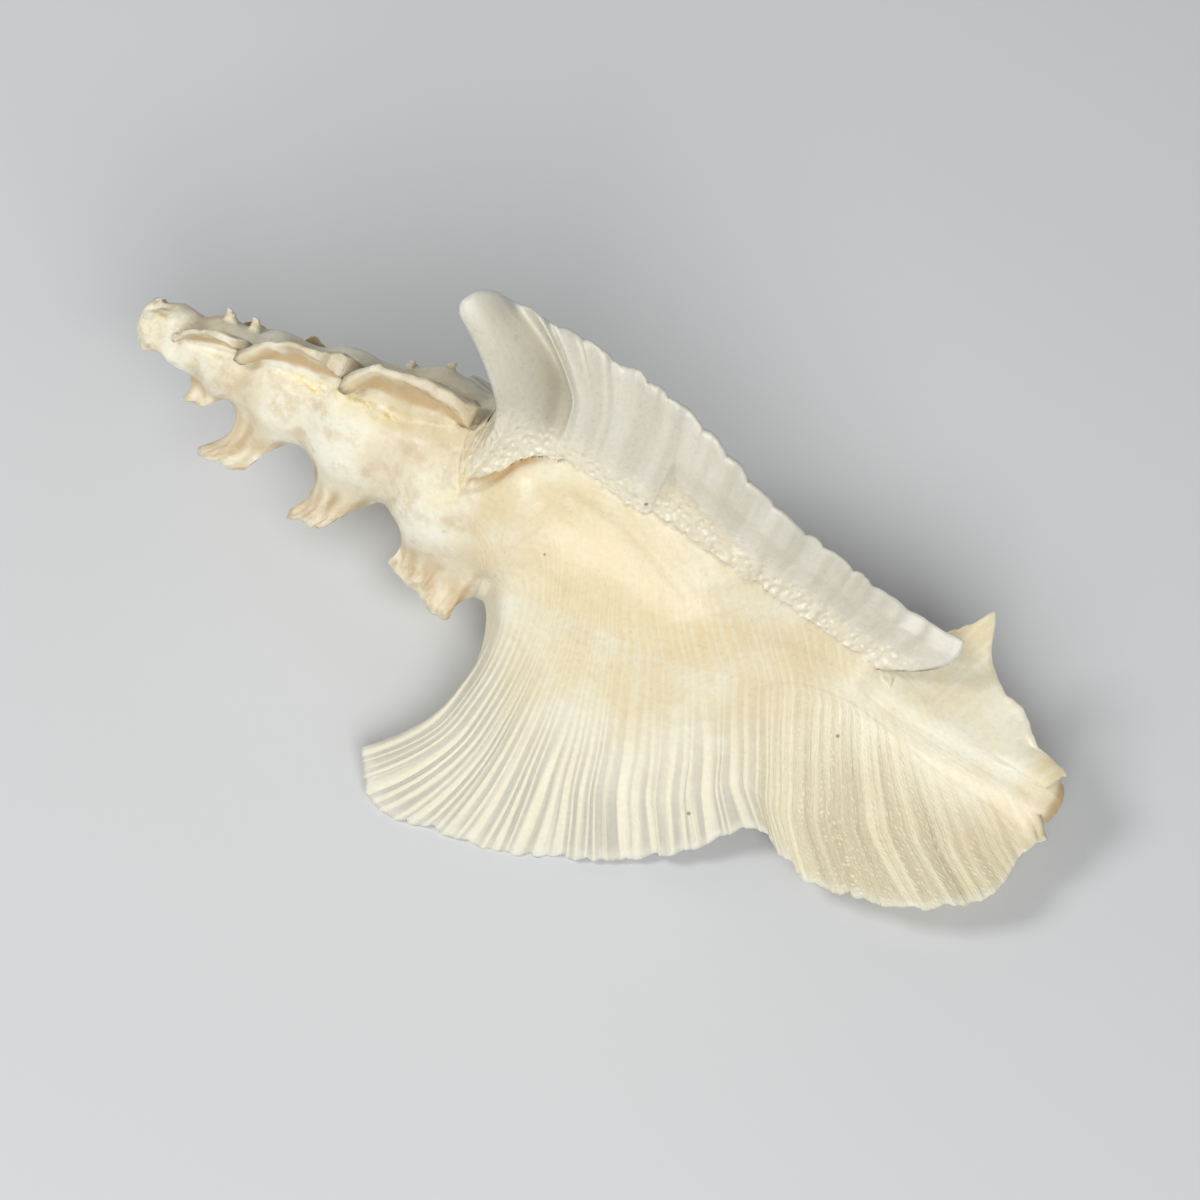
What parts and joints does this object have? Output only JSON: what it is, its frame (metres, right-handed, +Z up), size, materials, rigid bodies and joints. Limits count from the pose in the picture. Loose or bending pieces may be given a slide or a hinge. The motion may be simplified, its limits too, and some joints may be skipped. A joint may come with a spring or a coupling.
{
  "type": "murex shell",
  "caption": "Tall-spired murex seashell with broad ribbed wings, curved spouts up the spire, an oval mouth underneath and a long canal with a narrow slit.",
  "frame": {"origin": "centre of the bounding box in plan, at the surface that the shell rests on", "axes": "+X along the shell from the tip of the spire to the end of the canal, +Z up as it lies with the mouth underneath"},
  "size_m": [0.0744, 0.0356, 0.0326],
  "materials": {
    "shell": "cream white natural shell, smooth and slightly glossy on the last whorl, chalky on the spire"
  },
  "bodies": {
    "root": {"shell": "shell"}
  },
  "joints": []
}
